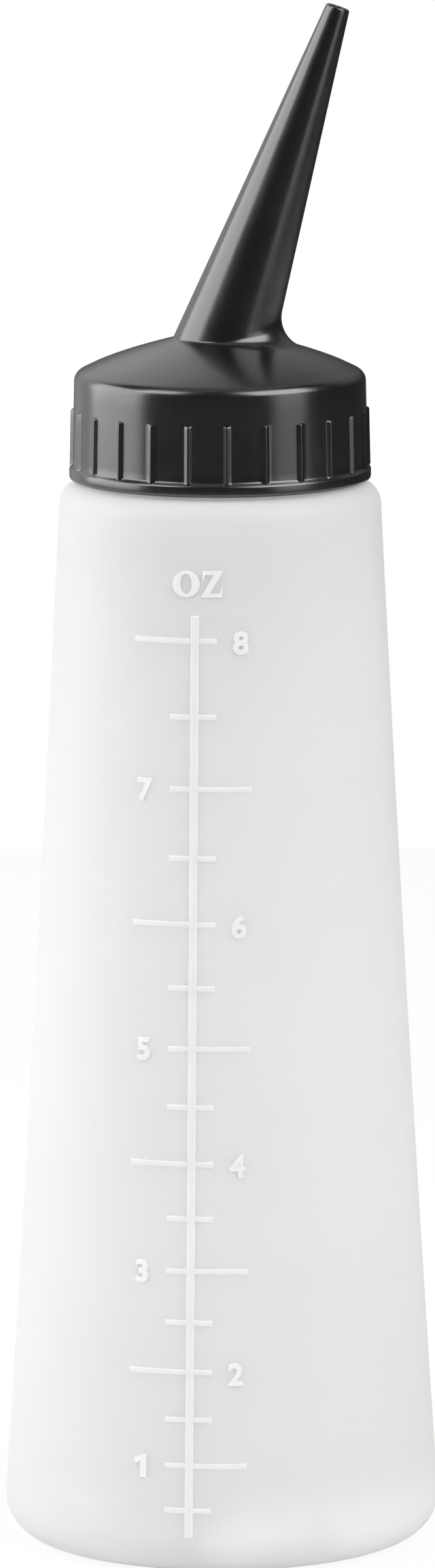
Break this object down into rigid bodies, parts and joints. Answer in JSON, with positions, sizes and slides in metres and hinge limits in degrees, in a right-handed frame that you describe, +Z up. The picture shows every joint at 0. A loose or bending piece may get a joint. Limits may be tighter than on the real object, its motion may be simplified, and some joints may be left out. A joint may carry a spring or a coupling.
{
  "type": "applicator bottle",
  "caption": "Tapered squeeze bottle of milky plastic with a raised volume scale, closed by a black ribbed screw cap with a slanted hollow nozzle.",
  "frame": {"origin": "centre of the base, on the plane that the bottle stands on", "axes": "+Z up along the bottle's axis; the front with the volume scale faces -Y; the nozzle leans towards +X"},
  "size_m": [0.0584, 0.0585, 0.2075],
  "materials": {
    "bottle": "satin, milky and translucent",
    "cap": "soft gloss"
  },
  "bodies": {
    "bottle": {"bottle": "bottle"},
    "cap": {"nozzle_cap": "cap"}
  },
  "joints": [
    {"name": "cap_lift", "type": "slide", "parent": "bottle", "child": "cap", "axis": [0, 0, 1], "range_m": [0, 0.04]}
  ]
}
